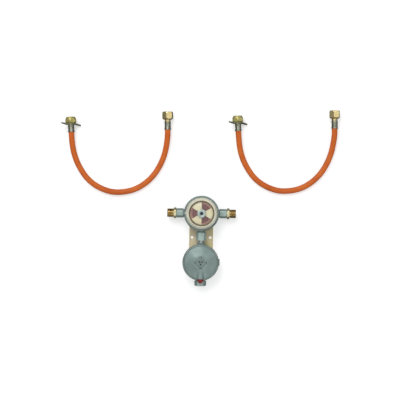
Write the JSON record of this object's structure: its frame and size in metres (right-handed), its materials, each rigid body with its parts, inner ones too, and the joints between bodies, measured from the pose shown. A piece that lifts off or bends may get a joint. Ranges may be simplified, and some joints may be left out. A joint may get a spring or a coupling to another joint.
{
  "type": "gas changeover regulator with hoses",
  "caption": "Changeover gas regulator on a wall bracket, two round stages and a window knob, laid out with its loose flexible connecting hoses.",
  "frame": {"origin": "on the bracket's back face, midway between its two wall holes", "axes": "+Z away from the wall, +Y from the second stage to the changeover head, +X to the right inlet"},
  "size_m": [0.6404, 0.4084, 0.0606],
  "materials": {
    "bracket": "yellow zinc plate",
    "steel": "zinc plated",
    "cast": "bare die casting, satin",
    "rim": "satin",
    "ivory": "moulded",
    "brown": "moulded",
    "clear": "clear moulding",
    "red": "moulded",
    "brass": "turned",
    "plated_nut": "yellow passivated",
    "wing": "stamped, passivated",
    "hose": "smooth orange rubber",
    "seal": "nitrile",
    "nylon": "moulded",
    "ferrule": "crimped, plated"
  },
  "bodies": {
    "regulator": {"bracket": "bracket", "bracket_screws": "steel", "head_body": "cast", "head_bonnet": "cast", "head_clamp_ring": "rim", "head_diaphragm": "seal", "head_spring": "steel", "valve_cages": "brass", "lever_pins": "steel", "inlet_adapters": "cast", "inlet_nipple_left": "brass", "inlet_nipple_right": "brass", "inlet_filters": "brass", "union_nut": "cast", "union_seal": "seal", "union_tail": "steel", "second_body": "cast", "second_cover": "cast", "second_clamp_ring": "rim", "second_diaphragm": "seal", "second_spring": "steel", "second_cage": "brass", "second_lever_pin": "steel", "outlet_fitting": "cast", "port_plug": "cast"},
    "selector": {"selector_ring": "ivory", "lens_bezel": "brown", "lens": "clear", "hub_cap": "cast", "hub_screw": "steel", "selector_shaft": "steel", "sector_mask": "ivory"},
    "indicator": {"indicator_disc": "red"},
    "head_stem": {"head_plate": "steel"},
    "left_rocker": {"lever_left": "steel"},
    "right_rocker": {"lever_right": "steel"},
    "left_poppet": {"valve_left": "seal"},
    "right_poppet": {"valve_right": "seal"},
    "second_stem": {"second_plate": "steel"},
    "second_rocker": {"second_lever": "steel"},
    "second_poppet": {"second_valve": "seal"},
    "adjuster": {"pressure_adjuster": "nylon"},
    "top_cap": {"adjuster_cap": "cast"},
    "red_plug": {"vent_plug": "red"},
    "left_hose_set": {"left_hose": "hose", "left_ferrules": "ferrule", "left_tails": "brass", "left_seals": "seal"},
    "left_hand_nut": {"left_cylinder_nut": "plated_nut", "left_hand_wings": "wing"},
    "left_spanner_nut": {"left_regulator_nut": "brass"},
    "right_hose_set": {"right_hose": "hose", "right_ferrules": "ferrule", "right_tails": "brass", "right_seals": "seal"},
    "right_hand_nut": {"right_cylinder_nut": "plated_nut", "right_hand_wings": "wing"},
    "right_spanner_nut": {"right_regulator_nut": "brass"}
  },
  "joints": [
    {"name": "selector_turn", "type": "hinge", "parent": "regulator", "child": "selector", "pos_m": [0, 0.056, 0.05], "axis": [0, 0, -1], "range_deg": [0, 180]},
    {"name": "indicator_turn", "type": "hinge", "parent": "selector", "child": "indicator", "pos_m": [0, 0.056, 0.0523], "axis": [0, 0, 1], "range_deg": [0, 60]},
    {"name": "head_lift", "type": "slide", "parent": "regulator", "child": "head_stem", "axis": [0, 0, 1], "range_m": [0, 0.0009], "deforming": ["head_diaphragm", "head_spring"]},
    {"name": "left_rock", "type": "hinge", "parent": "regulator", "child": "left_rocker", "pos_m": [-0.0145, 0.056, 0.011], "axis": [0, -1, 0], "range_deg": [0, 3.6]},
    {"name": "right_rock", "type": "hinge", "parent": "regulator", "child": "right_rocker", "pos_m": [0.0145, 0.056, 0.011], "axis": [0, 1, 0], "range_deg": [0, 3.6]},
    {"name": "left_close", "type": "slide", "parent": "regulator", "child": "left_poppet", "axis": [-1, 0, 0], "range_m": [0, 0.00056]},
    {"name": "right_close", "type": "slide", "parent": "regulator", "child": "right_poppet", "axis": [1, 0, 0], "range_m": [0, 0.00056]},
    {"name": "second_lift", "type": "slide", "parent": "regulator", "child": "second_stem", "axis": [0, 0, 1], "range_m": [0, 0.0009], "deforming": ["second_diaphragm", "second_spring"]},
    {"name": "second_rock", "type": "hinge", "parent": "regulator", "child": "second_rocker", "pos_m": [0, -0.0415, 0.011], "axis": [-1, 0, 0], "range_deg": [0, 3.6]},
    {"name": "second_close", "type": "slide", "parent": "regulator", "child": "second_poppet", "axis": [0, 1, 0], "range_m": [0, 0.00056]},
    {"name": "adjuster_turn", "type": "hinge", "parent": "regulator", "child": "adjuster", "pos_m": [0, -0.056, 0.049], "axis": [0, 0, 1], "range_deg": [-180, 180]},
    {"name": "cap_lift", "type": "slide", "parent": "regulator", "child": "top_cap", "axis": [0, 0, 1], "range_m": [0, 0.015]},
    {"name": "plug_pull", "type": "slide", "parent": "regulator", "child": "red_plug", "axis": [0, -1, 0], "range_m": [0, 0.015]},
    {"name": "left_hose_lift", "type": "slide", "parent": "regulator", "child": "left_hose_set", "axis": [0, 0, 1], "range_m": [0, 0.12]},
    {"name": "left_hand_spin", "type": "hinge", "parent": "left_hose_set", "child": "left_hand_nut", "pos_m": [-0.30472, 0.2622, 0.014], "axis": [-0.0715, 0.9974, 0], "continuous": true},
    {"name": "left_spanner_spin", "type": "hinge", "parent": "left_hose_set", "child": "left_spanner_nut", "pos_m": [-0.08219, 0.27901, 0.0132], "axis": [-0.0192, 0.9998, 0], "continuous": true},
    {"name": "right_hose_lift", "type": "slide", "parent": "regulator", "child": "right_hose_set", "axis": [0, 0, 1], "range_m": [0, 0.12]},
    {"name": "right_hand_spin", "type": "hinge", "parent": "right_hose_set", "child": "right_hand_nut", "pos_m": [0.07918, 0.272, 0.014], "axis": [-0.0715, 0.9974, 0], "continuous": true},
    {"name": "right_spanner_spin", "type": "hinge", "parent": "right_hose_set", "child": "right_spanner_nut", "pos_m": [0.30171, 0.28881, 0.0132], "axis": [-0.0192, 0.9998, 0], "continuous": true}
  ],
  "couplings": [
    {"joint": "left_rock", "follows": "head_lift", "rad_per_m": 68.966},
    {"joint": "right_rock", "follows": "head_lift", "rad_per_m": 68.966},
    {"joint": "left_close", "follows": "head_lift", "ratio": 0.62069},
    {"joint": "right_close", "follows": "head_lift", "ratio": 0.62069},
    {"joint": "second_rock", "follows": "second_lift", "rad_per_m": 68.966},
    {"joint": "second_close", "follows": "second_lift", "ratio": 0.62069}
  ]
}
